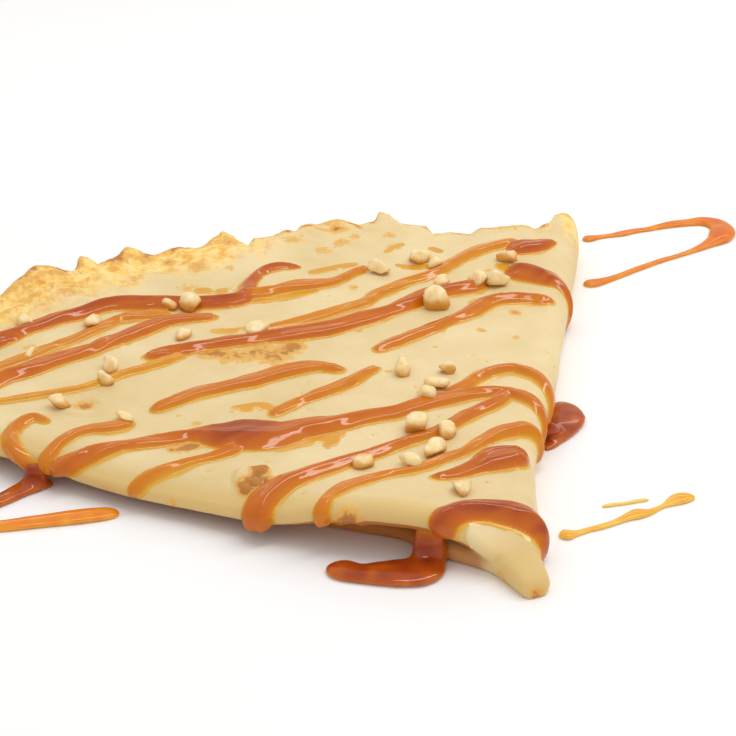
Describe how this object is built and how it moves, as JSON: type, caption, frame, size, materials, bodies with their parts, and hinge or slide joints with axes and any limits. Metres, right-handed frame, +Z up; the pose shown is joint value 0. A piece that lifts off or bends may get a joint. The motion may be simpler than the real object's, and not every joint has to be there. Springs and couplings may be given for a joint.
{
  "type": "honey crepe",
  "caption": "Thin crepe folded into a quarter with a ragged open rim, drizzled with thick honey and scattered with chopped nuts; honey strands lie loose beside it.",
  "frame": {"origin": "middle of the underside of the bounding box, on the surface that the crepe lies on", "axes": "-Y towards the folded tip, +Y towards the open ragged rim, +X to the right as seen from the tip, +Z up"},
  "size_m": [0.1838, 0.1595, 0.0127],
  "materials": {
    "baked_crepe": "soft, slightly moist baked batter with browned edges",
    "honey": "thick glossy amber honey"
  },
  "bodies": {
    "root": {"crepe": "baked_crepe", "honey_strand_left": "honey", "honey_strand_right": "honey", "honey_strand_thin": "honey", "honey_loop_far": "honey"}
  },
  "joints": []
}
